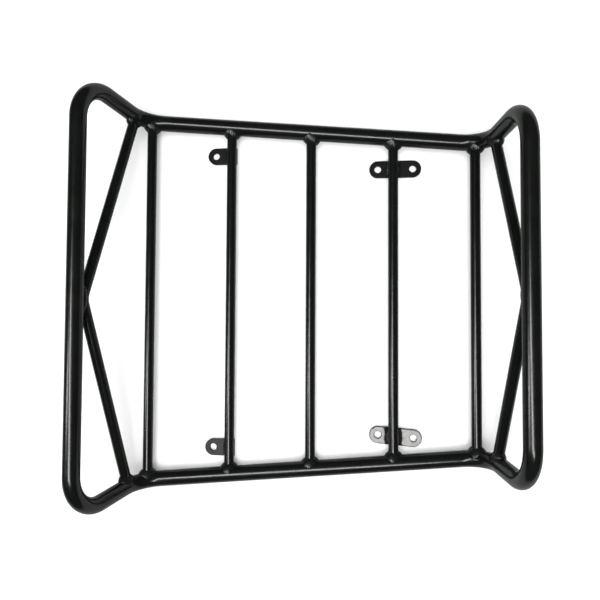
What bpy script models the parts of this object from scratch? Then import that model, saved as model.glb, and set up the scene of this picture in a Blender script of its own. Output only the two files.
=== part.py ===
"""Welded luggage rack: a bent tube hoop with cross bars, V braces and bolt-down tabs.

The rack lies flat, with +Z up, +X along its length and +Y across it. The hoop narrows towards +X
and both of its ends are folded upwards. Every piece is drawn around the hoop's flat centre line
(z = 0), and one empty then lifts the whole rack until the tabs' undersides lie on the ground plane
and centres it over the origin.
"""

import math
from collections import namedtuple

import bmesh
import bpy
import numpy as np
from mathutils import Vector

MM = 0.001

# ---------------------------------------------------------------- driving dimensions
HOOP_DIAMETER = 16.0 * MM
HOOP_WALL = 1.5 * MM
BAR_DIAMETER = 10.0 * MM
BRACE_DIAMETER = 10.5 * MM

HALF_SPACING = 172.0 * MM        # centre line of the deck to a side run, at mid length
TAPER = 0.096                    # half spacing lost per unit of length towards +X
FOLD_START = 152.6 * MM          # mid length to where each end starts to fold up
FOLD_RADIUS = 32.0 * MM
CORNER_RADIUS = 33.0 * MM

LEFT_FOLD_ANGLE = math.radians(73.0)
LEFT_END_LENGTH = 115.0 * MM     # along the tube from the fold start to the end run
LEFT_END_SPLAY = 0.069           # extra half spacing gained per unit of end length
RIGHT_FOLD_ANGLE = math.radians(80.0)
RIGHT_END_LENGTH = 119.0 * MM
RIGHT_END_SPLAY = 0.177

END_BAR_SETBACK = 14.7 * MM      # outer bars, measured along the tube past the fold start
MIDDLE_BARS_SHIFT = 2.5 * MM     # the three middle bars sit this far towards +X of even spacing
BAR_COUNT = 5

LEFT_BRACE_BACK_SETBACK = 33.6 * MM     # brace feet, measured along the tube past the fold start
LEFT_BRACE_FRONT_SETBACK = 36.4 * MM
LEFT_BRACE_POINT_SHIFT = -3.0 * MM      # the brace's point, off the rack's centre line
RIGHT_BRACE_BACK_SETBACK = 39.0 * MM
RIGHT_BRACE_FRONT_SETBACK = 39.0 * MM
RIGHT_BRACE_POINT_SHIFT = -1.0 * MM
BRACE_POINT_RADIUS = 19.0 * MM
BRACE_POINT_LEAN = math.radians(10.0)   # how far round the end run the brace's point sits

TAB_THICKNESS = 4.0 * MM
TAB_WIDTH = 17.2 * MM
TAB_HOLE_DIAMETER = 7.2 * MM
SINGLE_TAB_REACH = 18.3 * MM     # bar axis to hole axis
SINGLE_TAB_HEEL = 4.0 * MM       # plate left beyond the bar's axis
SINGLE_TAB_FRONT_INSET = 25.8 * MM      # side run's centre line to each tab's middle
SINGLE_TAB_BACK_INSET = 28.2 * MM
SINGLE_TAB_BAR = 2
DOUBLE_TAB_PITCH = 35.4 * MM     # between the two hole axes
DOUBLE_TAB_SHIFT = 2.2 * MM      # plate centre past the bar's axis
DOUBLE_TAB_FRONT_INSET = 25.5 * MM
DOUBLE_TAB_BACK_INSET = 30.3 * MM
DOUBLE_TAB_BAR = 4
DOUBLE_TAB_FRONT_SKEW = math.radians(-4.3)

GAP = 0.3 * MM                   # clearance between neighbouring solids
WELD_LEG_ON_TUBE = 2.7 * MM
WELD_LEG_ON_ROD = 4.5 * MM
WELD_CROWN = 0.62                # share of both legs at the fillet's bulge
WELD_BED_SHARE = 0.6             # share of the leg on the tube where the fillet's bed is held down
POINT_WELD_RADIUS = 2.2 * MM
POINT_WELD_HALF_LENGTH = 13.0 * MM
TAB_WELD_RADIUS = 1.8 * MM
TAB_WELD_INSET = 1.2 * MM
BUTT_WELD_WIDTH = 3.0 * MM
WELD_EDGE_MARGIN = 0.3 * MM      # least distance from a fillet's toe to the tube's silhouette

# ---------------------------------------------------------------- mesh resolution
TUBE_SIDES = 18
ROD_SIDES = 16
BEAD_SIDES = 8
HOLE_SIDES = 24
FOLD_STEPS = 7
CORNER_STEPS = 8
POINT_STEPS = 6
TAB_ROUND_STEPS = 12
BEAD_STEPS = 7
SEARCH_STEPS = 40
APEX_STEPS = 6

# ---------------------------------------------------------------- derived sizes
HOOP_RADIUS = HOOP_DIAMETER / 2
BAR_RADIUS = BAR_DIAMETER / 2
BRACE_RADIUS = BRACE_DIAMETER / 2
TAB_RADIUS = TAB_WIDTH / 2
TAB_TOP = -(BAR_RADIUS + GAP)
TAB_BOTTOM = TAB_TOP - TAB_THICKNESS
BUTT_HALF_GAP = BUTT_WELD_WIDTH / 2 + GAP

End = namedtuple("End", "name side fold_angle length splay back_setback front_setback point_shift")
LEFT = End("left", -1, LEFT_FOLD_ANGLE, LEFT_END_LENGTH, LEFT_END_SPLAY,
           LEFT_BRACE_BACK_SETBACK, LEFT_BRACE_FRONT_SETBACK, LEFT_BRACE_POINT_SHIFT)
RIGHT = End("right", 1, RIGHT_FOLD_ANGLE, RIGHT_END_LENGTH, RIGHT_END_SPLAY,
            RIGHT_BRACE_BACK_SETBACK, RIGHT_BRACE_FRONT_SETBACK, RIGHT_BRACE_POINT_SHIFT)


# ---------------------------------------------------------------- the hoop's geometry
def half_spacing(end, past):
    """Half spacing of the side runs at a distance past the fold start, along the tube."""
    arc = FOLD_RADIUS * end.fold_angle
    if past <= 0:
        gained = 0.0
    elif past < arc:
        gained = end.splay * past * past / (2 * arc)
    else:
        gained = end.splay * (past - arc / 2)
    return HALF_SPACING - TAPER * end.side * (FOLD_START + past) + gained


def folded(end, past, across):
    """A point of the folded centre surface, from its distance past the fold start."""
    turned = min(max(past, 0) / FOLD_RADIUS, end.fold_angle)
    straight = max(past - FOLD_RADIUS * end.fold_angle, 0)
    along = FOLD_START + min(past, 0) + FOLD_RADIUS * math.sin(turned)
    along += straight * math.cos(end.fold_angle)
    height = FOLD_RADIUS * (1 - math.cos(turned)) + straight * math.sin(end.fold_angle)
    return Vector((end.side * along, across, height))


def half_end_points(end):
    """Centre line of one side from the butt joint in the end run to the fold start."""
    slope = end.splay - TAPER * end.side
    lean = math.atan(slope)
    tangent = CORNER_RADIUS * math.tan((math.pi / 2 + lean) / 2)
    corner = half_spacing(end, end.length)
    centre_past = end.length - CORNER_RADIUS
    centre_across = corner - tangent
    points = [folded(end, end.length, BUTT_HALF_GAP)]
    for step in range(CORNER_STEPS + 1):
        angle = (math.pi / 2 + lean) * step / CORNER_STEPS
        past = centre_past + CORNER_RADIUS * math.cos(angle)
        points.append(folded(end, past, centre_across + CORNER_RADIUS * math.sin(angle)))
    for step in range(FOLD_STEPS, -1, -1):
        past = FOLD_RADIUS * end.fold_angle * step / FOLD_STEPS
        points.append(folded(end, past, half_spacing(end, past)))
    return points


def hoop_half_points(side):
    """Centre line of one hoop half: side is +1 for the back half and -1 for the front half."""
    points = half_end_points(LEFT) + half_end_points(RIGHT)[::-1]
    return [Vector((p.x, side * p.y, p.z)) for p in points]


def distance_to_path(point, path):
    """Shortest distance from a point to a chain of straight segments."""
    starts = np.array(path[:-1])
    spans = np.array(path[1:]) - starts
    offset = np.array(point) - starts
    share = np.einsum("ij,ij->i", offset, spans) / np.einsum("ij,ij->i", spans, spans)
    nearest = starts + np.clip(share, 0, 1)[:, None] * spans
    return float(np.sqrt(((np.array(point) - nearest) ** 2).sum(axis=1).min()))


def travel_until(start, direction, near, path, clearance):
    """Move from start along direction until the path is exactly clearance away.

    near is a travel at which the moving point is closer to the path than clearance."""
    far = 0.0
    for _ in range(SEARCH_STEPS):
        middle = (far + near) / 2
        if distance_to_path(start + direction * middle, path) > clearance:
            far = middle
        else:
            near = middle
    return start + direction * far


# ---------------------------------------------------------------- mesh building
def crosswise(direction):
    """Two unit vectors square to a direction and to each other."""
    helper = Vector((0, 0, 1)) if abs(direction.z) < 0.9 else Vector((1, 0, 0))
    first = direction.cross(helper).normalized()
    second = direction.cross(first).normalized()
    return first, second


def ring(centre, first, second, radius, sides):
    points = []
    for index in range(sides):
        angle = 2 * math.pi * index / sides
        points.append(centre + (first * math.cos(angle) + second * math.sin(angle)) * radius)
    return points


def path_rings(path, radii, sides):
    """One ring of points round each path point, without twist from one to the next."""
    rings = []
    first = None
    for index, centre in enumerate(path):
        before = path[max(index - 1, 0)]
        after = path[min(index + 1, len(path) - 1)]
        into = (centre - before).normalized()
        out_of = (after - centre).normalized()
        tangent = (into + out_of).normalized()
        if first is None:
            first = crosswise(tangent)[0]
        first = (first - tangent * first.dot(tangent)).normalized()
        second = tangent.cross(first)
        rings.append(ring(centre, first, second, radii[index], sides))
    return rings


def skin(bm, rings, closed=False):
    """Quads between neighbouring rings; returns the rings' vertices."""
    loops = [[bm.verts.new(p) for p in points] for points in rings]
    pairs = list(zip(loops, loops[1:]))
    if closed:
        pairs.append((loops[-1], loops[0]))
    for lower, upper in pairs:
        count = len(lower)
        for index in range(count):
            following = (index + 1) % count
            bm.faces.new((lower[index], lower[following], upper[following], upper[index]))
    return loops


def fan(bm, loop, centre):
    """Close a loop with triangles to a point in its middle."""
    hub = bm.verts.new(centre)
    for index, vertex in enumerate(loop):
        bm.faces.new((vertex, loop[(index + 1) % len(loop)], hub))


def bridge(bm, outer, inner):
    for index in range(len(outer)):
        following = (index + 1) % len(outer)
        bm.faces.new((outer[index], outer[following], inner[following], inner[index]))


def finish_piece(name, bm, location, material, parent, crease=35.0):
    """Turn a bmesh drawn in rack coordinates into an object with its origin at location."""
    bmesh.ops.recalc_face_normals(bm, faces=bm.faces)
    bmesh.ops.translate(bm, verts=bm.verts, vec=-location)
    mesh = bpy.data.meshes.new(name)
    bm.to_mesh(mesh)
    bm.free()
    mesh.shade_smooth()
    mesh.set_sharp_from_angle(angle=math.radians(crease))
    mesh.materials.append(material)
    piece = bpy.data.objects.new(name, mesh)
    bpy.context.scene.collection.objects.link(piece)
    piece.location = location
    piece.parent = parent
    return piece


def make_material(name, colour, roughness, metallic):
    material = bpy.data.materials.new(name)
    material.use_nodes = True
    shader = material.node_tree.nodes["Principled BSDF"]
    shader.inputs["Base Color"].default_value = (*colour, 1.0)
    shader.inputs["Roughness"].default_value = roughness
    shader.inputs["Metallic"].default_value = metallic
    return material


# ---------------------------------------------------------------- the rack's pieces
def make_hoop_half(name, side, material, parent):
    """A hollow bent tube, open at both of its ends."""
    path = hoop_half_points(side)
    bm = bmesh.new()
    outer = skin(bm, path_rings(path, [HOOP_RADIUS] * len(path), TUBE_SIDES))
    bore = HOOP_RADIUS - HOOP_WALL
    inner = skin(bm, path_rings(path, [bore] * len(path), TUBE_SIDES))
    bridge(bm, outer[0], inner[0])
    bridge(bm, outer[-1], inner[-1])
    return finish_piece(name, bm, Vector((0, 0, 0)), material, parent)


def make_butt_weld(end, material, parent):
    """The ring of weld metal that joins the two hoop halves, ground flush with the tube."""
    centre = folded(end, end.length, 0)
    half = Vector((0, BUTT_WELD_WIDTH / 2, 0))
    bm = bmesh.new()
    path = [centre - half, centre + half]
    outer = skin(bm, path_rings(path, [HOOP_RADIUS] * 2, TUBE_SIDES))
    inner = skin(bm, path_rings(path, [HOOP_RADIUS - HOOP_WALL] * 2, TUBE_SIDES))
    bridge(bm, outer[0], inner[0])
    bridge(bm, outer[1], inner[1])
    finish_piece("weld_butt_" + end.name, bm, centre, material, parent)


def coped_end(start, direction, spokes, near, path):
    """The saddle-shaped end of a rod where it meets the hoop tube, with the gap between them.

    Gives an inner ring, the rod's edge ring and the point on the rod's axis."""
    rings = []
    for share in (0.5, 1.0):
        rings.append([
            travel_until(start + spoke * share, direction, near, path, HOOP_RADIUS + GAP)
            for spoke in spokes
        ])
    hub = travel_until(start, direction, near, path, HOOP_RADIUS + GAP)
    return rings, hub


def bar_place(number):
    """End, distance past the fold start, and centre of a cross bar, numbered from the left."""
    outermost = FOLD_START + END_BAR_SETBACK
    run = outermost * (2 * (number - 1) / (BAR_COUNT - 1) - 1)
    if 1 < number < BAR_COUNT:
        run += MIDDLE_BARS_SHIFT
    end = RIGHT if run > 0 else LEFT
    past = abs(run) - FOLD_START
    return end, past, folded(end, past, 0)


def make_bar(number, hoop_paths, material, weld_material, parent):
    """A straight bar whose ends are coped to the side runs, and its two fillet welds."""
    end, past, centre = bar_place(number)
    near = half_spacing(end, past)
    spokes = ring(Vector((0, 0, 0)), Vector((1, 0, 0)), Vector((0, 0, 1)), BAR_RADIUS, ROD_SIDES)
    rings = []
    hubs = []
    for name, side in (("front", -1), ("back", 1)):
        direction = Vector((0, side, 0))
        path = hoop_paths[side]
        cope, hub = coped_end(centre, direction, spokes, near, path)
        rings += cope if side < 0 else cope[::-1]
        hubs.append(hub)
        make_fillet("weld_bar_%d_%s" % (number, name), centre, direction, BAR_RADIUS, near, path,
                    weld_material, parent)
    bm = bmesh.new()
    loops = skin(bm, rings)
    fan(bm, loops[0], hubs[0])
    fan(bm, loops[-1], hubs[1])
    finish_piece("cross_bar_%d" % number, bm, centre, material, parent, crease=60.0)


def make_fillet(name, start, direction, rod_radius, near, path, material, parent):
    """A weld fillet that runs right round a rod where the rod meets the hoop tube.

    Each section is laid out by how far its points stand off the rod and off the tube. The leg on
    the tube is held inside the tube's own width, so the toe always has a surface to lie on."""
    first, second = crosswise(direction)
    leg = min(WELD_LEG_ON_TUBE, HOOP_RADIUS - rod_radius - WELD_EDGE_MARGIN)
    outline = [
        (0.0, 0.0),
        (0.0, WELD_LEG_ON_ROD),
        (leg * WELD_CROWN, WELD_LEG_ON_ROD * WELD_CROWN),
        (leg, 0.0),
        (leg * WELD_BED_SHARE, 0.0),
    ]
    sections = []
    for index in range(ROD_SIDES):
        angle = 2 * math.pi * index / ROD_SIDES
        outward = first * math.cos(angle) + second * math.sin(angle)
        section = []
        for off_rod, off_tube in outline:
            begin = start + outward * (rod_radius + GAP + off_rod)
            clearance = HOOP_RADIUS + GAP + off_tube
            section.append(travel_until(begin, direction, near, path, clearance))
        sections.append(section)
    bm = bmesh.new()
    skin(bm, sections, closed=True)
    middle = start + direction * near
    finish_piece(name, bm, middle, material, parent)


def brace_seat(end):
    """The end run's axis above the brace's point, the way from it to the point, and inward."""
    run = folded(end, end.length, end.point_shift)
    up = Vector((end.side * math.cos(end.fold_angle), 0, math.sin(end.fold_angle)))
    inward = Vector((-end.side * math.sin(end.fold_angle), 0, math.cos(end.fold_angle)))
    offset = up * math.cos(BRACE_POINT_LEAN) + inward * math.sin(BRACE_POINT_LEAN)
    return run, offset, inward


def brace_points(end):
    """Centre line of a V brace: back foot, the arc at its point, front foot."""
    run, offset, _ = brace_seat(end)
    tip = run - offset * (HOOP_RADIUS + GAP + BRACE_RADIUS)
    back = folded(end, end.back_setback, half_spacing(end, end.back_setback))
    front = folded(end, end.front_setback, -half_spacing(end, end.front_setback))
    apex = tip
    for _ in range(APEX_STEPS):
        to_back = (back - apex).normalized()
        to_front = (front - apex).normalized()
        outward = -(to_back + to_front).normalized()
        half_angle = to_back.angle(to_front) / 2
        apex = tip + outward * BRACE_POINT_RADIUS * (1 / math.sin(half_angle) - 1)
    centre = apex - outward * BRACE_POINT_RADIUS / math.sin(half_angle)
    sideways = (to_back - to_front).normalized()
    points = [back]
    for step in range(POINT_STEPS + 1):
        angle = (math.pi / 2 - half_angle) * (1 - 2 * step / POINT_STEPS)
        arm = outward * math.cos(angle) + sideways * math.sin(angle)
        points.append(centre + arm * BRACE_POINT_RADIUS)
    points.append(front)
    return points


def make_brace(end, hoop_paths, material, weld_material, parent):
    """A rod bent to a V, its feet coped to the side runs, with a fillet round each foot."""
    points = brace_points(end)
    rings = path_rings(points, [BRACE_RADIUS] * len(points), ROD_SIDES)
    copes = []
    hubs = []
    for name, side, foot_index, next_index in (("back", 1, 0, 1), ("front", -1, -1, -2)):
        foot = points[foot_index]
        start = points[next_index]
        direction = (foot - start).normalized()
        near = (foot - start).length
        path = hoop_paths[side]
        spokes = [p - foot for p in rings[foot_index]]
        cope, hub = coped_end(start, direction, spokes, near, path)
        copes.append(cope)
        hubs.append(hub)
        make_fillet("weld_brace_%s_%s" % (end.name, name), start, direction, BRACE_RADIUS, near,
                    path, weld_material, parent)
    bm = bmesh.new()
    loops = skin(bm, copes[0] + rings[1:-1] + copes[1][::-1])
    fan(bm, loops[0], hubs[0])
    fan(bm, loops[-1], hubs[1])
    centre = folded(end, end.length, 0)
    finish_piece("brace_" + end.name, bm, centre, material, parent, crease=60.0)


def make_point_weld(end, name, turn, material, parent):
    """A bead in the groove between the end run and the brace's point, above or below it."""
    run, offset, inward = brace_seat(end)
    brace = brace_points(end)
    reach = HOOP_RADIUS + GAP + POINT_WELD_RADIUS
    clearance = BRACE_RADIUS + GAP + POINT_WELD_RADIUS
    towards = -offset
    square = (inward - offset * inward.dot(offset)).normalized() * turn
    points = []
    radii = []
    for step in range(BEAD_STEPS):
        share = 2 * step / (BEAD_STEPS - 1) - 1
        middle = run + Vector((0, share * POINT_WELD_HALF_LENGTH, 0))
        low, high = 0.0, math.pi / 2
        for _ in range(SEARCH_STEPS):
            angle = (low + high) / 2
            place = middle + (towards * math.cos(angle) + square * math.sin(angle)) * reach
            if distance_to_path(place, brace) < clearance:
                low = angle
            else:
                high = angle
        points.append(place)
        radii.append(POINT_WELD_RADIUS * math.sqrt(1 - 0.8 * share * share))
    bm = bmesh.new()
    loops = skin(bm, path_rings(points, radii, BEAD_SIDES))
    fan(bm, loops[0], points[0])
    fan(bm, loops[-1], points[-1])
    location = points[BEAD_STEPS // 2]
    finish_piece("weld_point_%s_%s" % (end.name, name), bm, location, material, parent)


def tab_outline(left, right, round_left, round_right):
    """Flat outline of a tab along its own X axis; a round end is a half circle."""
    points = []
    for centre, is_round, begin in ((right, round_right, -1), (left, round_left, 1)):
        steps = TAB_ROUND_STEPS if is_round else 1
        for step in range(steps + 1):
            angle = math.pi * (begin * 0.5 + step / steps)
            bulge = TAB_RADIUS * math.cos(angle) if is_round else 0.0
            points.append((centre + bulge, TAB_RADIUS * math.sin(angle)))
    return points


def hole_cutter(name, tab, x):
    """A drill-shaped cutter that follows its tab."""
    mesh = bpy.data.meshes.new(name)
    bm = bmesh.new()
    bmesh.ops.create_cone(
        bm, cap_ends=True, segments=HOLE_SIDES, radius1=TAB_HOLE_DIAMETER / 2,
        radius2=TAB_HOLE_DIAMETER / 2, depth=TAB_THICKNESS * 3,
    )
    bm.to_mesh(mesh)
    bm.free()
    cutter = bpy.data.objects.new(name, mesh)
    bpy.context.scene.collection.objects.link(cutter)
    cutter.parent = tab
    cutter.location = (x, 0, -TAB_THICKNESS / 2)
    cutter.hide_render = True
    cutter.display_type = "WIRE"
    return cutter


def make_tab(name, outline, holes, bar_axis, across, skew, material, parent):
    """A flat tab under a bar; its origin is on its top face below the bar's axis."""
    bm = bmesh.new()
    vertices = [bm.verts.new((x, y, 0)) for x, y in outline]
    face = bm.faces.new(vertices)
    extruded = bmesh.ops.extrude_face_region(bm, geom=[face])
    lowered = [item for item in extruded["geom"] if isinstance(item, bmesh.types.BMVert)]
    bmesh.ops.translate(bm, verts=lowered, vec=(0, 0, -TAB_THICKNESS))
    tab = finish_piece(name, bm, Vector((0, 0, 0)), material, parent)
    tab.location = Vector((bar_axis.x, across, bar_axis.z + TAB_TOP))
    tab.rotation_euler = (0, 0, skew)
    for index, x in enumerate(holes):
        cut = tab.modifiers.new("hole_%d" % index, "BOOLEAN")
        cut.operation = "DIFFERENCE"
        cut.solver = "EXACT"
        cut.object = hole_cutter("%s_drill_%d" % (name, index), tab, x)
    return tab


def make_tab_weld(name, bar_axis, across, flank, skew, material, parent):
    """A bead in the groove between a bar's flank and the tab's top face, following the bar."""
    rise = TAB_WELD_RADIUS + GAP
    drop = BAR_RADIUS + GAP - rise
    stand_off = math.sqrt((BAR_RADIUS + GAP + TAB_WELD_RADIUS) ** 2 - drop ** 2)
    half = TAB_RADIUS / math.cos(skew) - TAB_WELD_INSET - TAB_WELD_RADIUS / 2
    lean = abs(stand_off * math.tan(skew))
    points = []
    radii = []
    for step in range(BEAD_STEPS):
        share = 2 * step / (BEAD_STEPS - 1) - 1
        y = across + share * (half - lean)
        points.append(Vector((bar_axis.x + flank * stand_off, y, bar_axis.z - drop)))
        radii.append(TAB_WELD_RADIUS * math.sqrt(1 - 0.7 * share * share))
    bm = bmesh.new()
    loops = skin(bm, path_rings(points, radii, BEAD_SIDES))
    fan(bm, loops[0], points[0])
    fan(bm, loops[-1], points[-1])
    finish_piece(name, bm, points[BEAD_STEPS // 2], material, parent)


def make_tabs(paint, bare, weld_material, parent):
    """Two single-hole tabs under one bar and two double-hole tabs across another."""
    single_end, single_past, single_axis = bar_place(SINGLE_TAB_BAR)
    double_end, double_past, double_axis = bar_place(DOUBLE_TAB_BAR)
    single_run = half_spacing(single_end, single_past)
    double_run = half_spacing(double_end, double_past)
    single_outline = tab_outline(-SINGLE_TAB_REACH, SINGLE_TAB_HEEL, True, False)
    half_pitch = DOUBLE_TAB_PITCH / 2
    low, high = DOUBLE_TAB_SHIFT - half_pitch, DOUBLE_TAB_SHIFT + half_pitch
    double_outline = tab_outline(low, high, True, True)
    sides = (
        ("front", SINGLE_TAB_FRONT_INSET - single_run, DOUBLE_TAB_FRONT_INSET - double_run,
         DOUBLE_TAB_FRONT_SKEW, bare),
        ("back", single_run - SINGLE_TAB_BACK_INSET, double_run - DOUBLE_TAB_BACK_INSET, 0.0, paint),
    )
    for name, single_y, double_y, skew, double_material in sides:
        make_tab("tab_single_" + name, single_outline, [-SINGLE_TAB_REACH], single_axis, single_y,
                 0.0, paint, parent)
        make_tab_weld("weld_tab_single_" + name, single_axis, single_y, -1, 0.0, weld_material,
                      parent)
        make_tab("tab_double_" + name, double_outline, [low, high], double_axis, double_y, skew,
                 double_material, parent)
        for flank, flank_name in ((-1, "left"), (1, "right")):
            weld_name = "weld_tab_double_%s_%s" % (name, flank_name)
            make_tab_weld(weld_name, double_axis, double_y, flank, skew, weld_material, parent)


def make_rack():
    for existing in list(bpy.data.objects):
        bpy.data.objects.remove(existing, do_unlink=True)
    hoop_paint = make_material("hoop_paint", (0.012, 0.013, 0.012), 0.30, 0.0)
    bar_paint = make_material("bar_paint", (0.012, 0.013, 0.012), 0.28, 0.0)
    brace_paint = make_material("brace_paint", (0.012, 0.013, 0.012), 0.32, 0.0)
    tab_paint = make_material("tab_paint", (0.018, 0.018, 0.018), 0.45, 0.0)
    bare_steel = make_material("bare_steel", (0.52, 0.52, 0.50), 0.42, 0.9)
    weld_paint = make_material("weld_paint", (0.010, 0.011, 0.010), 0.25, 0.0)

    left_reach = folded(LEFT, LEFT.length, 0).x - HOOP_RADIUS
    right_reach = folded(RIGHT, RIGHT.length, 0).x + HOOP_RADIUS
    rack = bpy.data.objects.new("rack", None)
    bpy.context.scene.collection.objects.link(rack)
    rack.location = (-(left_reach + right_reach) / 2, 0, -TAB_BOTTOM)

    hoop_paths = {side: hoop_half_points(side) for side in (-1, 1)}
    make_hoop_half("hoop_tube_front", -1, hoop_paint, rack)
    make_hoop_half("hoop_tube_back", 1, hoop_paint, rack)
    for number in range(1, BAR_COUNT + 1):
        make_bar(number, hoop_paths, bar_paint, weld_paint, rack)
    for end in (LEFT, RIGHT):
        make_butt_weld(end, weld_paint, rack)
        make_brace(end, hoop_paths, brace_paint, weld_paint, rack)
        make_point_weld(end, "upper", 1, weld_paint, rack)
        make_point_weld(end, "lower", -1, weld_paint, rack)
    make_tabs(tab_paint, bare_steel, weld_paint, rack)


make_rack()
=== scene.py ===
"""Looks for the welded luggage rack: fine tubes, rippled weld beads and painted tabs.

Each piece takes the place of one CAD node, except that one closed hoop takes the place of both
hoop halves and their flush butt welds. Bars, tabs and tab welds are placed by the frame's boxes.
"""

import math

import bpy
import numpy as np
from mathutils import Matrix, Vector
from mathutils.geometry import tessellate_polygon


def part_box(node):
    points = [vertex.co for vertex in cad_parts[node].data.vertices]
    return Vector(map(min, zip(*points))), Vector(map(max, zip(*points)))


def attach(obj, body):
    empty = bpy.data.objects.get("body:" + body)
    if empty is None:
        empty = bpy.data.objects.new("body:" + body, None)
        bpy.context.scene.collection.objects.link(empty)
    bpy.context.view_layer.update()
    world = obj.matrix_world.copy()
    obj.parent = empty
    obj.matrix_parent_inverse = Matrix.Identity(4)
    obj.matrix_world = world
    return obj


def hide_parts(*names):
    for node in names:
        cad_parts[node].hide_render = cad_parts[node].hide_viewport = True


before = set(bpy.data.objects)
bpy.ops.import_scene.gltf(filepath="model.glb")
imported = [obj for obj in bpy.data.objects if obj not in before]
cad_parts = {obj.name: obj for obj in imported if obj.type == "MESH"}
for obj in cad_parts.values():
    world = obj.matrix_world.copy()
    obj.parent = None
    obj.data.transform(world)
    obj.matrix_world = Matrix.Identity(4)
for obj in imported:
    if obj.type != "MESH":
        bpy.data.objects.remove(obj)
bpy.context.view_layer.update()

MM = 0.001

# ---------------------------------------------------------------- sizes shared with the CAD part
HOOP_RADIUS = 8.0 * MM
BAR_RADIUS = 5.0 * MM
BRACE_RADIUS = 5.25 * MM
HALF_SPACING = 172.0 * MM
TAPER = 0.096
FOLD_START = 152.6 * MM
FOLD_RADIUS = 32.0 * MM
CORNER_RADIUS = 33.0 * MM
MIDDLE_BARS_SHIFT = 2.5 * MM
TAB_WIDTH = 17.2 * MM
TAB_HOLE_RADIUS = 3.6 * MM
TAB_THICKNESS = 4.0 * MM
TWO_HOLE_PITCH = 35.4 * MM
FRONT_TWO_HOLE_SKEW = math.radians(-4.3)
ONE_HOLE_BAR = 2                 # bars are numbered from the left
TWO_HOLE_BAR = 4
BRACE_POINT_RADIUS = 19.0 * MM
BRACE_POINT_LEAN = math.radians(10.0)
TOUCH = 0.3 * MM                 # the CAD part's clearance between a brace's point and the hoop
# side of the deck, fold angle, length past the fold start, splay
ENDS = {
    "left": (-1, math.radians(73.0), 115.0 * MM, 0.069),
    "right": (1, math.radians(80.0), 119.0 * MM, 0.177),
}
# brace feet past the fold start at the back and at the front, and the shift of the brace's point
BRACES = {
    "left": (33.6 * MM, 36.4 * MM, -3.0 * MM),
    "right": (39.0 * MM, 39.0 * MM, -1.0 * MM),
}
SIDES = ((-1, "front"), (1, "back"))

# ---------------------------------------------------------------- fineness of the meshes
HOOP_SIDES = 72
ROD_SIDES = 56
BAR_STEPS = 60
FILLET_COLUMNS = 264
FILLET_ROWS = 15
GROOVE_STEPS = 150
GROOVE_SIDES = 20
HOLE_STEPS = 48
TAB_ROUND_STEPS = 40
SEARCH_STEPS = 26
APEX_STEPS = 6

# ---------------------------------------------------------------- weld beads
FILLET_LEG_ON_TUBE = 2.6 * MM
FILLET_LEG_ON_ROD = 3.9 * MM
FILLET_SIDE_MARGIN = 0.25 * MM   # how far a fillet stays inside the hoop's width, across the hoop
FILLET_FLARE = 0.55              # how much longer the leg is where it lies along the hoop
FILLET_FLATNESS = 1.7            # 1 is a round face and 2 a flat one
TOE_DEPTH = 0.12 * MM            # how deep both toes sink into the tubes
RIPPLE_HEIGHT = 0.17 * MM
LUMP_HEIGHT = 0.12 * MM
FILLET_RIPPLE_PITCH = 1.55 * MM
GROOVE_RIPPLE_PITCH = 1.5 * MM
POINT_BEAD_RADIUS = 2.7 * MM
POINT_BEAD_HALF_LENGTH = 19.0 * MM
POINT_BEAD_STAND_OFF = 0.55      # of its radius, from the bead's centre line to both tubes
TAB_BEAD_RADIUS = 1.9 * MM
TAB_BEAD_STAND_OFF = 5.3 * MM
TAB_BEAD_RISE = 1.1 * MM
BAR_OVERLAP = 1.2 * MM           # how far a bar runs on past the end of its CAD node
BRACE_OVERLAP = 1.5 * MM         # how far inside the hoop's surface a brace ends
# stretches of hoop looked at round a bead, a brace's foot and a bar's end
BEAD_REACH = 55 * MM
FOOT_REACH = 70 * MM
BAR_REACH = 60 * MM
SEARCH_SPAN = 25 * MM            # how far short of the hoop's centre line a bead's search starts

# ---------------------------------------------------------------- where the deck is, from the frame
bar_boxes = [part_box("cross_bar_%d" % number) for number in range(1, 6)]
bar_centres = [(low + high) / 2 for low, high in bar_boxes]
DECK_HEIGHT = bar_centres[2].z
DECK_SHIFT = bar_centres[2].x - MIDDLE_BARS_SHIFT


# ---------------------------------------------------------------- centre lines
def half_spacing(end, past):
    """Half spacing of the side runs at a distance past the fold start, along the tube."""
    side, angle, _, splay = ENDS[end]
    arc = FOLD_RADIUS * angle
    in_fold = splay * np.maximum(past, 0) ** 2 / (2 * arc)
    gained = np.where(past < arc, in_fold, splay * (past - arc / 2))
    return HALF_SPACING - TAPER * side * (FOLD_START + past) + gained


def folded(end, past, across):
    """Points of the folded centre surface in the frame's coordinates."""
    side, angle = ENDS[end][:2]
    past = np.asarray(past, float)
    turned = np.clip(past / FOLD_RADIUS, 0, angle)
    straight = np.maximum(past - FOLD_RADIUS * angle, 0)
    along = FOLD_START + np.minimum(past, 0) + FOLD_RADIUS * np.sin(turned)
    along = along + straight * math.cos(angle)
    height = FOLD_RADIUS * (1 - np.cos(turned)) + straight * math.sin(angle)
    wide = np.broadcast_to(across, along.shape)
    return np.stack([side * along + DECK_SHIFT, wide, height + DECK_HEIGHT], -1)


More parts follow.
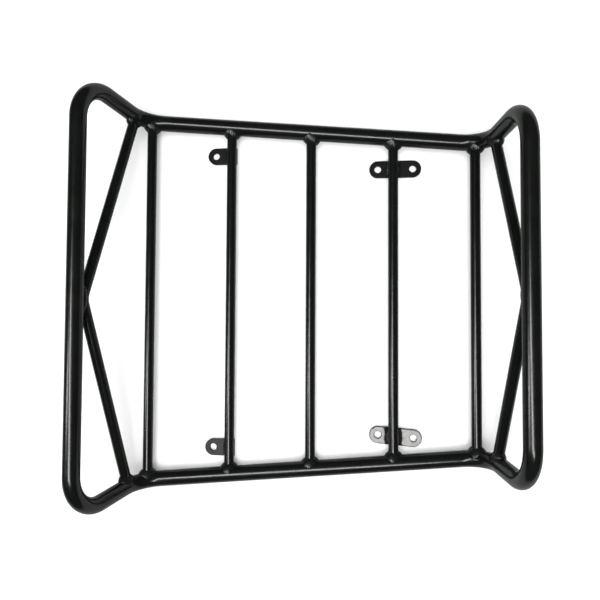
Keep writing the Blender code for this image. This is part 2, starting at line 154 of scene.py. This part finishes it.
def end_line(end):
    """One quarter of the hoop: middle of the end run, corner, leg, fold, and on to mid length."""
    side, angle, length, splay = ENDS[end]
    lean = math.atan(splay - TAPER * side)
    tangent = CORNER_RADIUS * math.tan((math.pi / 2 + lean) / 2)
    centre_across = float(half_spacing(end, np.array(length))) - tangent
    across = np.linspace(0, centre_across, 40, endpoint=False)
    run = folded(end, np.full(len(across), length), across)
    turn = np.linspace(0, math.pi / 2 + lean, 30)
    past = length - CORNER_RADIUS + CORNER_RADIUS * np.cos(turn)
    corner = folded(end, past, centre_across + CORNER_RADIUS * np.sin(turn))
    past = np.concatenate([
        np.linspace(past[-1], FOLD_RADIUS * angle, 12)[1:],
        np.linspace(FOLD_RADIUS * angle, 0, 32)[1:],
        np.linspace(0, -FOLD_START, 44)[1:],
    ])
    leg = folded(end, past, half_spacing(end, past))
    return np.concatenate([run, corner, leg])


def hoop_line():
    left = end_line("left")
    right = end_line("right")
    back = np.concatenate([left, right[::-1][1:]])
    front = (back * [1, -1, 1])[::-1][1:-1]
    return np.concatenate([back, front])


HOOP = hoop_line()


def distance_to(points, path):
    """Distance of each point to a chain of segments."""
    starts = path[:-1]
    spans = path[1:] - starts
    offset = points[:, None, :] - starts[None]
    share = np.einsum("nij,ij->ni", offset, spans) / np.einsum("ij,ij->i", spans, spans)
    nearest = offset - np.clip(share, 0, 1)[..., None] * spans
    return np.sqrt((nearest ** 2).sum(-1)).min(1)


def near_part(path, point, reach):
    """The stretch of a path within reach of a point, unless it runs past the path's ends."""
    keep = np.where(np.linalg.norm(path - point, axis=1) < reach)[0]
    if keep.max() - keep.min() < len(path) / 2:
        return path[keep.min():keep.max() + 1]
    return path


def unit(vector):
    return vector / np.linalg.norm(vector)


# ---------------------------------------------------------------- meshes
def make_object(name, verts, faces):
    mesh = bpy.data.meshes.new(name)
    mesh.from_pydata([tuple(v) for v in verts], [], [tuple(f) for f in faces])
    mesh.update()
    mesh.shade_smooth()
    made = bpy.data.objects.new(name, mesh)
    bpy.context.scene.collection.objects.link(made)
    return made


def crosswise(direction):
    """A vector that isn't along the direction, to cross it with."""
    return np.array([0, 0, 1.0]) if abs(direction[2]) < 0.9 else np.array([1.0, 0, 0])


def frames_along(path, closed=False):
    """Two cross directions at each point of a path, without twist from one to the next."""
    if closed:
        tangents = np.roll(path, -1, 0) - np.roll(path, 1, 0)
    else:
        tangents = np.gradient(path, axis=0)
    tangents /= np.linalg.norm(tangents, axis=1)[:, None]
    first = np.cross(tangents[0], crosswise(tangents[0]))
    firsts = []
    for tangent in tangents:
        first = first - tangent * first.dot(tangent)
        first /= np.linalg.norm(first)
        firsts.append(first)
    firsts = np.array(firsts)
    if closed:
        last = unit(firsts[-1] - tangents[0] * firsts[-1].dot(tangents[0]))
        second = np.cross(tangents[0], firsts[0])
        twist = math.atan2(last.dot(second), last.dot(firsts[0]))
        angles = -twist * np.arange(len(path)) / len(path)
        seconds = np.cross(tangents, firsts)
        firsts = firsts * np.cos(angles)[:, None] + seconds * np.sin(angles)[:, None]
    return firsts, np.cross(tangents, firsts)


def grid_faces(rows, columns, close_rows, close_columns=True):
    faces = []
    for row in range(rows if close_rows else rows - 1):
        following = (row + 1) % rows
        for column in range(columns if close_columns else columns - 1):
            beside = (column + 1) % columns
            faces.append((row * columns + column, row * columns + beside,
                          following * columns + beside, following * columns + column))
    return faces


def sweep(name, path, radii, sides, closed=False):
    """A tube round a path. radii holds one radius per point, or one per point and side."""
    path = np.asarray(path, float)
    radii = np.asarray(radii, float)
    if radii.ndim == 1:
        radii = np.repeat(radii[:, None], sides, 1)
    firsts, seconds = frames_along(path, closed)
    angle = (2 * math.pi * np.arange(sides) / sides)[None, :, None]
    around = firsts[:, None] * np.cos(angle) + seconds[:, None] * np.sin(angle)
    verts = (path[:, None] + around * radii[..., None]).reshape(-1, 3)
    faces = grid_faces(len(path), sides, closed)
    if not closed:
        faces.append(tuple(range(sides))[::-1])
        faces.append(tuple(range((len(path) - 1) * sides, len(path) * sides)))
    return make_object(name, verts, faces)


def wobble(count, waves, seed):
    """A smooth closed random curve of about unit size, for the uneven edge of a hand-laid bead."""
    local = np.random.default_rng(seed)
    turn = 2 * math.pi * np.arange(count) / count
    total = np.zeros(count)
    for wave in range(1, waves + 1):
        size = local.normal() / math.sqrt(wave)
        total += size * np.cos(wave * turn + local.uniform(0, 2 * math.pi))
    return total / max(np.abs(total).max(), 1e-9)


def ripples(position, phase):
    """Height of a bead's ripples, 0 to 1: steep in front and shallow behind, as metal freezes."""
    share = (position + phase) % 1.0
    return np.sin(math.pi * share) ** 0.7 * (1 - 0.35 * share)


def fillet_section(turn, rod_radius, along_tube, outward, seed, swell):
    """How far the bead's face stands off the rod and off the hoop, by column and row."""
    columns = len(turn)
    local = np.random.default_rng(seed)
    theta = np.linspace(0, math.pi / 2, FILLET_ROWS)
    lying = np.abs(outward @ along_tube)
    flare = 1 + FILLET_FLARE * lying ** 3
    leg_tube = min(FILLET_LEG_ON_TUBE, HOOP_RADIUS - rod_radius - FILLET_SIDE_MARGIN) * flare
    leg_tube = leg_tube * (1 + 0.10 * wobble(columns, 6, seed))
    leg_rod = FILLET_LEG_ON_ROD * swell * (1 + 0.18 * wobble(columns, 7, seed + 50))
    off_rod = leg_tube[:, None] * np.cos(theta)[None] ** FILLET_FLATNESS
    off_rod = off_rod - TOE_DEPTH * (theta[None] > 1.5)
    off_tube = leg_rod[:, None] * np.sin(theta)[None] ** FILLET_FLATNESS
    off_tube = off_tube - TOE_DEPTH * (theta[None] < 0.05)
    # ripples that curve back over the bead's crown, and one larger lump where the bead closes
    scale_count = int(round(2 * math.pi * (rod_radius + 1.5 * MM) / FILLET_RIPPLE_PITCH))
    curve = 0.55 * np.sin(theta) ** 2
    place = turn[:, None] / (2 * math.pi) * scale_count - curve[None] * 1.2
    height = ripples(place, local.uniform())
    lump = 1 + 0.9 * np.exp(-((turn - local.uniform(0, 2 * math.pi)) / 0.35) ** 2)
    relief = RIPPLE_HEIGHT * height + LUMP_HEIGHT * wobble(columns, 9, seed + 9)[:, None]
    relief = relief * np.sin(2 * theta)[None] ** 0.8 * lump[:, None]
    off_rod = off_rod + relief * np.cos(theta)[None]
    off_tube = off_tube + relief * np.sin(theta)[None]
    # the toe stays on the hoop: off its side there would be nothing to lie on
    across_tube = np.sqrt(np.maximum(1 - lying[:, None] ** 2, 0.2))
    widest = (HOOP_RADIUS + off_tube - 0.05 * MM) / across_tube - rod_radius
    return np.minimum(off_rod, widest), off_tube


def fillet_bead(name, start, direction, rod_radius, reach, path, seed, swell=1.0):
    """A rippled weld bead right round a rod where it meets the hoop."""
    columns, rows = FILLET_COLUMNS, FILLET_ROWS
    direction = np.asarray(direction, float)
    first = unit(np.cross(direction, crosswise(direction)))
    second = np.cross(direction, first)
    turn = 2 * math.pi * np.arange(columns) / columns
    outward = first[None] * np.cos(turn)[:, None] + second[None] * np.sin(turn)[:, None]
    meeting = start + direction * reach
    local_path = near_part(path, meeting, BEAD_REACH)
    middle = int(np.argmin(np.linalg.norm(local_path - meeting, axis=1)))
    middle = min(max(middle, 1), len(local_path) - 2)
    along_tube = unit(local_path[middle + 1] - local_path[middle - 1])
    off_rod, off_tube = fillet_section(turn, rod_radius, along_tube, outward, seed, swell)
    begin = start + outward[:, None] * (rod_radius + off_rod)[..., None]
    begin = begin.reshape(-1, 3)
    clearance = (HOOP_RADIUS + off_tube).reshape(-1)
    # each point travels along the rod until it is its own distance off the hoop
    far = np.full(len(begin), reach - SEARCH_SPAN)
    close = np.full(len(begin), reach)
    for _ in range(SEARCH_STEPS):
        travel = (far + close) / 2
        outside = distance_to(begin + direction * travel[:, None], local_path) > clearance
        far = np.where(outside, travel, far)
        close = np.where(outside, close, travel)
    verts = begin + direction * far[:, None]
    faces = grid_faces(columns, rows, True, False)
    # an inner bed closes the bead
    bed = verts.reshape(columns, rows, 3)
    inner = bed[:, 0] * 0.5 + bed[:, -1] * 0.5 - outward * 1.2 * MM + direction * 0.8 * MM
    verts = np.concatenate([verts, inner])
    base = columns * rows
    for column in range(columns):
        beside = (column + 1) % columns
        top, next_top = column * rows + rows - 1, beside * rows + rows - 1
        faces.append((top, next_top, base + beside, base + column))
        faces.append((base + column, base + beside, beside * rows, column * rows))
    return make_object(name, verts, faces)


def groove_bead(name, path, radius, seed, end_share):
    """A rippled bead laid in a groove, thinner towards both of its ends."""
    path = np.asarray(path, float)
    steps = np.linspace(0, len(path) - 1, GROOVE_STEPS)
    index = np.minimum(steps.astype(int), len(path) - 2)
    share = (steps - index)[:, None]
    fine = path[index] * (1 - share) + path[index + 1] * share
    length = np.linalg.norm(np.diff(fine, axis=0), axis=1).sum()
    place = np.linspace(-1, 1, GROOVE_STEPS)
    taper = np.sqrt(np.clip(1 - end_share * place ** 2, 0.02, 1))
    local = np.random.default_rng(seed)
    height = ripples((place + 1) / 2 * length / GROOVE_RIPPLE_PITCH, local.uniform())
    radii = radius * taper * (1 + 0.05 * wobble(GROOVE_STEPS, 9, seed)) + RIPPLE_HEIGHT * height
    return sweep(name, fine, radii, GROOVE_SIDES)


# ---------------------------------------------------------------- material nodes
def math_node(tree, operation, first, second=None):
    """A Math node; an input is a socket to link or a number."""
    made = tree.nodes.new("ShaderNodeMath")
    made.operation = operation
    for socket, value in zip(made.inputs, (first, second)):
        if isinstance(value, float):
            socket.default_value = value
        elif value is not None:
            tree.links.new(value, socket)
    return made.outputs[0]


def noise(tree, coords, scale, detail=3.0, rough=0.55):
    made = tree.nodes.new("ShaderNodeTexNoise")
    made.inputs["Scale"].default_value = scale
    made.inputs["Detail"].default_value = detail
    made.inputs["Roughness"].default_value = rough
    tree.links.new(coords, made.inputs["Vector"])
    return made.outputs["Fac"]


def remap(tree, value, low, high, to_low, to_high):
    made = tree.nodes.new("ShaderNodeMapRange")
    limits = (("From Min", low), ("From Max", high), ("To Min", to_low), ("To Max", to_high))
    for key, number in limits:
        made.inputs[key].default_value = number
    tree.links.new(value, made.inputs["Value"])
    return made.outputs["Result"]


def mix_colour(tree, factor, first, second):
    made = tree.nodes.new("ShaderNodeMix")
    made.data_type = "RGBA"
    tree.links.new(factor, made.inputs["Factor"])
    for socket, colour in ((made.inputs["A"], first), (made.inputs["B"], second)):
        if isinstance(colour, tuple):
            socket.default_value = (*colour, 1)
        else:
            tree.links.new(colour, socket)
    return made.outputs["Result"]


def mix_value(tree, factor, first, second):
    made = tree.nodes.new("ShaderNodeMix")
    tree.links.new(factor, made.inputs["Factor"])
    for socket, value in ((made.inputs["A"], first), (made.inputs["B"], second)):
        if isinstance(value, float):
            socket.default_value = value
        else:
            tree.links.new(value, socket)
    return made.outputs["Result"]


def bump(tree, height, strength, distance, before=None):
    made = tree.nodes.new("ShaderNodeBump")
    made.inputs["Strength"].default_value = strength
    made.inputs["Distance"].default_value = distance
    tree.links.new(height, made.inputs["Height"])
    if before is not None:
        tree.links.new(before, made.inputs["Normal"])
    return made.outputs["Normal"]


def start_material(name):
    material = bpy.data.materials.new(name)
    material.use_nodes = True
    tree = material.node_tree
    coords = tree.nodes.new("ShaderNodeTexCoord").outputs["Object"]
    return material, tree, coords, tree.nodes["Principled BSDF"]


# ---------------------------------------------------------------- materials
DUST = (0.10, 0.10, 0.095)


def paint(name, dark, light, rough, peel, grain, dust, gloss=0.5):
    """Sprayed black paint: slow tone change, orange peel, fine grain and a little dust."""
    material, tree, coords, shader = start_material(name)
    slow = remap(tree, noise(tree, coords, 38.0, 4.0), 0.35, 0.68, 0.0, 1.0)
    tone = mix_colour(tree, slow, dark, light)
    specks = remap(tree, noise(tree, coords, 1700.0, 2.0, 0.7), 0.66, 0.74, 0.0, dust)
    patches = remap(tree, noise(tree, coords, 55.0, 5.0, 0.65), 0.45, 0.7, 0.0, 1.0)
    tone = mix_colour(tree, math_node(tree, "MULTIPLY", specks, patches), tone, DUST)
    tree.links.new(tone, shader.inputs["Base Color"])
    roughness = remap(tree, noise(tree, coords, 90.0, 4.0, 0.6), 0.3, 0.72, *rough)
    tree.links.new(roughness, shader.inputs["Roughness"])
    relief = bump(tree, noise(tree, coords, 420.0, 2.0, 0.5), peel, 0.35 * MM)
    relief = bump(tree, noise(tree, coords, 2600.0, 2.0, 0.6), grain, 0.06 * MM, relief)
    tree.links.new(relief, shader.inputs["Normal"])
    shader.inputs["Specular IOR Level"].default_value = gloss
    return material


BLACK = (0.0026, 0.0034, 0.0028)
SOFT_BLACK = (0.0042, 0.0050, 0.0044)
WELD_BLACK = (0.0062, 0.0067, 0.0062)
TAB_BLACK = (0.0022, 0.0026, 0.0023)
TAB_SOFT_BLACK = (0.0040, 0.0044, 0.0040)
WORN_GREY = (0.009, 0.0095, 0.0095)
WORN_SOFT_GREY = (0.016, 0.0165, 0.016)
hoop_look = paint("hoop_black", BLACK, SOFT_BLACK, (0.17, 0.25), 0.06, 0.05, 0.15)
bar_look = paint("bar_black", BLACK, SOFT_BLACK, (0.15, 0.23), 0.06, 0.05, 0.15)
brace_look = paint("brace_black", BLACK, SOFT_BLACK, (0.18, 0.26), 0.06, 0.05, 0.15)
weld_look = paint("weld_black", BLACK, WELD_BLACK, (0.19, 0.33), 0.26, 0.12, 0.25)
tab_look = paint("tab_black", TAB_BLACK, TAB_SOFT_BLACK, (0.40, 0.52), 0.18, 0.35, 0.3, 0.2)
worn_tab_look = paint("tab_grey_black", WORN_GREY, WORN_SOFT_GREY, (0.42, 0.54), 0.2, 0.5, 1.0, 0.28)


def bare_tab_material(centre_x):
    """Bare plate with the black overspray left round the bar, and a dark line at its rim."""
    overspray, feather, raggedness = 9.0 * MM, 0.3 * MM, 1.5 * MM
    material, tree, coords, shader = start_material("tab_bare_steel")
    split = tree.nodes.new("ShaderNodeSeparateXYZ")
    tree.links.new(coords, split.inputs[0])
    away = math_node(tree, "ABSOLUTE", math_node(tree, "SUBTRACT", split.outputs["X"], centre_x))
    edge_noise = noise(tree, coords, 330.0, 4.0, 0.7)
    ragged = remap(tree, edge_noise, 0.3, 0.7, -raggedness, raggedness)
    edge = math_node(tree, "ADD", away, ragged)
    bare = remap(tree, edge, overspray, overspray + feather, 0.0, 1.0)
    # darker grey (0.05) line along every edge of the plate, fading into the plate's own colour about
    # a millimetre in
    rim = tree.nodes.new("ShaderNodeAttribute")
    rim.attribute_name = "rim"
    rim_noise = remap(tree, noise(tree, coords, 700.0, 3.0, 0.6), 0.3, 0.7, -0.25, 0.25)
    off_rim_line = remap(tree, math_node(tree, "ADD", rim.outputs["Fac"], rim_noise), 0.30, 0.62, 0.0, 1.0)
    brushed = noise(tree, coords, 900.0, 5.0, 0.7)
    cloudy = remap(tree, noise(tree, coords, 160.0, 4.0, 0.6), 0.3, 0.7, 0.0, 1.0)
    scratched = remap(tree, brushed, 0.60, 0.72, 0.0, 0.7)
    metal = mix_colour(tree, cloudy, (0.215, 0.215, 0.212), (0.32, 0.32, 0.316))
    metal = mix_colour(tree, scratched, metal, (0.09, 0.09, 0.088))
    metal = mix_colour(tree, off_rim_line, (0.05, 0.05, 0.05), metal)
    tree.links.new(mix_colour(tree, bare, TAB_BLACK, metal), shader.inputs["Base Color"])
    tree.links.new(mix_value(tree, bare, 0.0, 0.35), shader.inputs["Metallic"])
    rough = remap(tree, brushed, 0.3, 0.7, 0.38, 0.55)
    tree.links.new(mix_value(tree, bare, 0.46, rough), shader.inputs["Roughness"])
    shader.inputs["Specular IOR Level"].default_value = 0.08
    relief = bump(tree, noise(tree, coords, 1400.0, 3.0, 0.65), 0.25, 0.08 * MM)
    relief = bump(tree, bare, -0.5, 0.12 * MM, relief)
    tree.links.new(relief, shader.inputs["Normal"])
    return material


def dress(made, look, slot_name, *nodes):
    made.data.materials.append(look)
    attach(made, "root")
    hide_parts(*nodes)


# ---------------------------------------------------------------- hoop
def make_hoop():
    hoop = sweep("hoop", HOOP, np.full(len(HOOP), HOOP_RADIUS), HOOP_SIDES, closed=True)
    dress(hoop, hoop_look, "hoop_paint",
          "hoop_tube_front", "hoop_tube_back", "weld_butt_left", "weld_butt_right")


# ---------------------------------------------------------------- cross bars and their welds
def make_bar(number):
    """A straight bar that ends inside the hoop's wall, and a bead round each of its ends."""
    low, high = bar_boxes[number - 1]
    centre = bar_centres[number - 1]
    half = (high.y - low.y) / 2 + BAR_OVERLAP
    across = np.linspace(-half, half, BAR_STEPS)
    line = np.stack([np.full(BAR_STEPS, centre.x), across, np.full(BAR_STEPS, centre.z)], -1)
    bar = sweep("bar_%d" % number, line, np.full(BAR_STEPS, BAR_RADIUS), ROD_SIDES)
    dress(bar, bar_look, "bar_paint", "cross_bar_%d" % number)
    for side, word in SIDES:
        start = np.array([centre.x, 0, centre.z])
        beside = np.array([centre.x, side * HALF_SPACING, centre.z])
        run = near_part(HOOP[HOOP[:, 1] * side > 0], beside, BAR_REACH)
        nearest = run[np.argmin(np.abs(run[:, 0] - centre.x))]
        bead = fillet_bead("bead_bar_%d_%s" % (number, word), start, (0, side, 0), BAR_RADIUS,
                           abs(nearest[1]), run, 100 + number * 10 + side)
        dress(bead, weld_look, "weld_paint", "weld_bar_%d_%s" % (number, word))


# ---------------------------------------------------------------- braces and their welds
def brace_seat(end):
    """The end run's axis above the brace's point, the way from it to the point, and inward."""
    side, angle, length = ENDS[end][:3]
    run = folded(end, np.array(length), BRACES[end][2])
    up = np.array([side * math.cos(angle), 0, math.sin(angle)])
    inward = np.array([-side * math.sin(angle), 0, math.cos(angle)])
    offset = up * math.cos(BRACE_POINT_LEAN) + inward * math.sin(BRACE_POINT_LEAN)
    return run, offset, inward


def brace_line(end):
    """Centre line of a V brace, its two feet and the two places where its point starts to bend."""
    back_past, front_past = BRACES[end][:2]
    run, offset = brace_seat(end)[:2]
    tip = run - offset * (HOOP_RADIUS + TOUCH + BRACE_RADIUS)
    back = folded(end, np.array(back_past), half_spacing(end, np.array(back_past)))
    front = folded(end, np.array(front_past), -half_spacing(end, np.array(front_past)))
    apex = tip
    for _ in range(APEX_STEPS):
        to_back = unit(back - apex)
        to_front = unit(front - apex)
        outward = -unit(to_back + to_front)
        half_angle = math.acos(to_back.dot(to_front)) / 2
        apex = tip + outward * BRACE_POINT_RADIUS * (1 / math.sin(half_angle) - 1)
    centre = apex - outward * BRACE_POINT_RADIUS / math.sin(half_angle)
    sideways = unit(to_back - to_front)
    half_turn = math.pi / 2 - half_angle
    turn = np.linspace(half_turn, -half_turn, 33)[:, None]
    arc = centre + (outward * np.cos(turn) + sideways * np.sin(turn)) * BRACE_POINT_RADIUS
    share = np.linspace(0, 1, 40)[:, None]
    back_leg = back + (arc[0] - back) * share
    front_leg = arc[-1] + (front - arc[-1]) * share
    return np.concatenate([back_leg, arc[1:-1], front_leg]), back, front, arc[0], arc[-1]


def groove_points(end, turn):
    """Centre line of the bead above (turn 1) or below (turn -1) the brace's point."""
    run, offset, inward = brace_seat(end)
    line = brace_line(end)[0]
    stand_off = POINT_BEAD_STAND_OFF * POINT_BEAD_RADIUS
    square = unit(inward - offset * inward.dot(offset)) * turn
    points = []
    for share in np.linspace(-1, 1, 25):
        middle = run + np.array([0, share * POINT_BEAD_HALF_LENGTH, 0])
        low, high = 0.0, math.pi / 2
        for _ in range(SEARCH_STEPS):
            angle = (low + high) / 2
            away = -offset * math.cos(angle) + square * math.sin(angle)
            place = middle + away * (HOOP_RADIUS + stand_off)
            if distance_to(place[None], line)[0] < BRACE_RADIUS + stand_off:
                low = angle
            else:
                high = angle
        points.append(place)
    return np.array(points)


def make_brace(order, end):
    """A V brace that ends inside the hoop's wall, its foot beads and the beads at its point."""
    line, back_foot, front_foot, back_bend, front_bend = brace_line(end)
    inside_wall = HOOP_RADIUS - BRACE_OVERLAP
    for foot in (back_foot, front_foot):
        line = line[distance_to(line, near_part(HOOP, foot, FOOT_REACH)) > inside_wall]
    brace = sweep("brace_%s_rod" % end, line, np.full(len(line), BRACE_RADIUS), ROD_SIDES)
    dress(brace, brace_look, "brace_paint", "brace_" + end)
    for (side, word), foot, bend in zip(SIDES, (front_foot, back_foot), (front_bend, back_bend)):
        bead = fillet_bead("bead_brace_%s_%s" % (end, word), bend, unit(foot - bend), BRACE_RADIUS,
                           np.linalg.norm(foot - bend), near_part(HOOP, foot, FOOT_REACH),
                           300 + order * 20 + side, swell=1.05)
        dress(bead, weld_look, "weld_paint", "weld_brace_%s_%s" % (end, word))
    for turn, word in ((1, "upper"), (-1, "lower")):
        bead = groove_bead("bead_point_%s_%s" % (end, word), groove_points(end, turn),
                           POINT_BEAD_RADIUS, 400 + order * 5 + turn, 0.85)
        dress(bead, weld_look, "weld_paint", "weld_point_%s_%s" % (end, word))


# ---------------------------------------------------------------- tabs and their welds
def tab_loop(left, right, right_round, inset):
    """Outline of a tab drawn along X, moved inwards by inset. The left end is a half circle, and
    the right end is one too or is cut square."""
    radius = TAB_WIDTH / 2 - inset
    points = []
    for centre, is_round, begin in ((right, right_round, -1), (left, True, 1)):
        steps = TAB_ROUND_STEPS if is_round else 1
        for step in range(steps + 1):
            angle = math.pi * (begin * 0.5 + step / steps)
            bulge = radius * math.cos(angle) if is_round else -inset
            points.append((centre + bulge, radius * math.sin(angle)))
    return points


def hole_loop(hole, inset):
    """A hole's edge, opened by a small bevel towards both faces."""
    reach = TAB_HOLE_RADIUS + inset * 0.6
    turns = [-2 * math.pi * step / HOLE_STEPS for step in range(HOLE_STEPS)]
    return [(hole + reach * math.cos(turn), reach * math.sin(turn)) for turn in turns]


def tab_levels():
    """Inset and height of each ring from the tab's top face, over its edge, to its underside."""
    arris = 0.55 * MM
    levels = [(1.7 * MM, 0.0), (1.1 * MM, 0.0)]
    for step in range(5):
        angle = math.pi / 2 * step / 4
        levels.append((arris * (1 - math.sin(angle)), -arris * (1 - math.cos(angle))))
    return levels + [(inset, -TAB_THICKNESS - height) for inset, height in levels[::-1]]


def make_tab(name, left, right, right_round, holes, origin, skew):
    """A plate with rounded edges and bevelled holes. Its rim attribute is 0 at every edge."""
    verts, faces, rim, loops = [], [], [], []
    for inset, height in tab_levels():
        rings = [tab_loop(left, right, right_round, inset)]
        rings += [hole_loop(hole, inset) for hole in holes]
        indices = []
        for ring in rings:
            indices.append(list(range(len(verts), len(verts) + len(ring))))
            verts += [(x, y, height) for x, y in ring]
            rim += [min(1.0, inset / (1.5 * MM))] * len(ring)
        loops.append(indices)
    for upper, lower in zip(loops, loops[1:]):
        for top, low in zip(upper, lower):
            for index in range(len(top)):
                following = (index + 1) % len(top)
                faces.append((top[following], top[index], low[index], low[following]))
    for which, facing_down in ((0, False), (-1, True)):
        flat = [[Vector(verts[i]) for i in ring] for ring in loops[which]]
        order = [i for ring in loops[which] for i in ring]
        for triangle in tessellate_polygon(flat):
            corners = [order[i] for i in triangle]
            a, b, c = (Vector(verts[i]) for i in corners)
            upward = (b - a).cross(c - a).z > 0
            if upward == facing_down:
                corners.reverse()
            faces.append(tuple(corners))
    made = make_object(name, verts, faces)
    made.data.set_sharp_from_angle(angle=math.radians(40))
    values = made.data.attributes.new("rim", "FLOAT", "POINT")
    values.data.foreach_set("value", np.array(rim, np.float32))
    turn = np.array(Matrix.Rotation(skew, 3, "Z"))
    placed = np.array(verts) @ turn.T + np.array(origin)
    made.data.vertices.foreach_set("co", placed.astype(np.float32).ravel())
    made.data.update()
    return made


def make_tab_bead(name, cad_name, bar_axis, across, flank, seed):
    """A bead between a bar's flank and its tab, as long as the CAD weld."""
    low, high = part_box(cad_name)
    half = (high.y - low.y) / 2
    x = bar_axis.x + flank * TAB_BEAD_STAND_OFF
    z = TAB_THICKNESS + TAB_BEAD_RISE
    y = across + np.linspace(-half, half, 30)
    points = np.stack([np.full(30, x), y, np.full(30, z)], -1)
    dress(groove_bead(name, points, TAB_BEAD_RADIUS, seed, 0.8), weld_look, "weld_paint", cad_name)


def make_one_hole_tab(side, word):
    bar_axis = bar_centres[ONE_HOLE_BAR - 1]
    low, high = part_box("tab_single_" + word)
    middle = (low.y + high.y) / 2
    hole = low.x + TAB_WIDTH / 2 - bar_axis.x
    tab = make_tab("tab_one_hole_" + word, hole, high.x - bar_axis.x, False, [hole],
                   (bar_axis.x, middle, TAB_THICKNESS), 0.0)
    look = worn_tab_look if side < 0 else tab_look
    dress(tab, look, "tab_paint", "tab_single_" + word)
    make_tab_bead("bead_tab_one_hole_" + word, "weld_tab_single_" + word, bar_axis, middle, -1,
                  500 + side)


def make_two_hole_tab(side, word):
    bar_axis = bar_centres[TWO_HOLE_BAR - 1]
    low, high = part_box("tab_double_" + word)
    middle = (low + high) / 2
    skew = FRONT_TWO_HOLE_SKEW if side < 0 else 0.0
    reach = TWO_HOLE_PITCH / 2
    tab = make_tab("tab_two_hole_" + word, -reach, reach, True, [-reach, reach],
                   (middle.x, middle.y, TAB_THICKNESS), skew)
    look = bare_tab_material(bar_axis.x) if side < 0 else tab_look
    dress(tab, look, "bare_steel" if side < 0 else "tab_paint", "tab_double_" + word)
    for flank, flank_word in ((-1, "left"), (1, "right")):
        cad_name = "weld_tab_double_%s_%s" % (word, flank_word)
        low_weld, high_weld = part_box(cad_name)
        make_tab_bead("bead_tab_two_hole_%s_%s" % (word, flank_word), cad_name, bar_axis,
                      (low_weld.y + high_weld.y) / 2, flank, 520 + side + 3 * flank)


make_hoop()
for number in range(1, 6):
    make_bar(number)
for order, end in enumerate(ENDS):
    make_brace(order, end)
for side, word in SIDES[::-1]:
    make_one_hole_tab(side, word)
    make_two_hole_tab(side, word)


# ---------------------------------------------------------------- stage
def floor_material():
    material, tree, coords, shader = start_material("floor_white")
    pale = mix_colour(tree, noise(tree, coords, 3.0, 2.0), (0.90, 0.90, 0.90), (0.93, 0.93, 0.93))
    # the floor is dimmer in the paint's reflections, so that the tubes stay dark up to their edges
    mirrored = tree.nodes.new("ShaderNodeLightPath").outputs["Is Glossy Ray"]
    tone = mix_colour(tree, mirrored, pale, (0.34, 0.35, 0.34))
    tree.links.new(tone, shader.inputs["Base Color"])
    shader.inputs["Roughness"].default_value = 0.9
    shader.inputs["Specular IOR Level"].default_value = 0.1
    return material


def make_floor():
    bpy.ops.mesh.primitive_plane_add(size=2.6, location=(0, 0, 0))
    floor = bpy.context.object
    floor.name = "floor"
    floor.data.materials.append(floor_material())


def make_world():
    """White where the camera sees past the floor, and a dark studio everywhere else."""
    world = bpy.data.worlds.new("studio")
    bpy.context.scene.world = world
    world.use_nodes = True
    tree = world.node_tree
    seen = tree.nodes.new("ShaderNodeLightPath").outputs["Is Camera Ray"]
    colour = mix_colour(tree, seen, (0.045, 0.050, 0.045), (1.0, 1.0, 1.0))
    tree.links.new(colour, tree.nodes["Background"].inputs["Color"])


def area_light(name, location, width, height, radiance, glossy=True, diffuse=True):
    """A rectangular light aimed at the origin; radiance is the brightness of its surface."""
    light = bpy.data.lights.new(name, "AREA")
    light.shape = "RECTANGLE"
    light.size = width
    light.size_y = height
    light.energy = radiance * math.pi * width * height
    made = bpy.data.objects.new(name, light)
    bpy.context.scene.collection.objects.link(made)
    made.location = location
    aim = (Vector((0, 0, 0)) - Vector(location)).normalized()
    made.rotation_euler = aim.to_track_quat("-Z", "Y").to_euler()
    made.visible_glossy = glossy
    made.visible_diffuse = diffuse
    made.visible_camera = False


def make_camera():
    """A camera above the deck, a little to its right, looking almost straight down."""
    place = (0.07342, -0.02704, 0.64793)
    tilt_x, tilt_y, tilt_z = -0.0406889, -0.1212983, -0.0002326
    camera_data = bpy.data.cameras.new("camera")
    camera_data.sensor_width = 36.0
    camera_data.lens = 37.67322
    camera = bpy.data.objects.new("camera", camera_data)
    bpy.context.scene.collection.objects.link(camera)
    turn = Matrix.Rotation(tilt_z, 3, "Z") @ Matrix.Rotation(tilt_y, 3, "Y")
    turn = turn @ Matrix.Rotation(tilt_x, 3, "X")
    camera.matrix_world = Matrix.Translation(place) @ turn.transposed().to_4x4()
    bpy.context.scene.camera = camera


make_floor()
make_world()
area_light("fill_over", (0, 0, 2.6), 4.5, 4.5, 2.6, glossy=False)
area_light("key_front", (0.05, -1.1, 2.5), 1.0, 1.0, 8.0, glossy=False)
area_light("strip", (-0.50, -0.62, 2.9), 2.4, 0.46, 16.0, diffuse=False)
area_light("side_strip", (-2.1, -0.35, 2.0), 0.30, 0.9, 14.0, diffuse=False)
make_camera()
bpy.context.scene.view_settings.view_transform = "Standard"
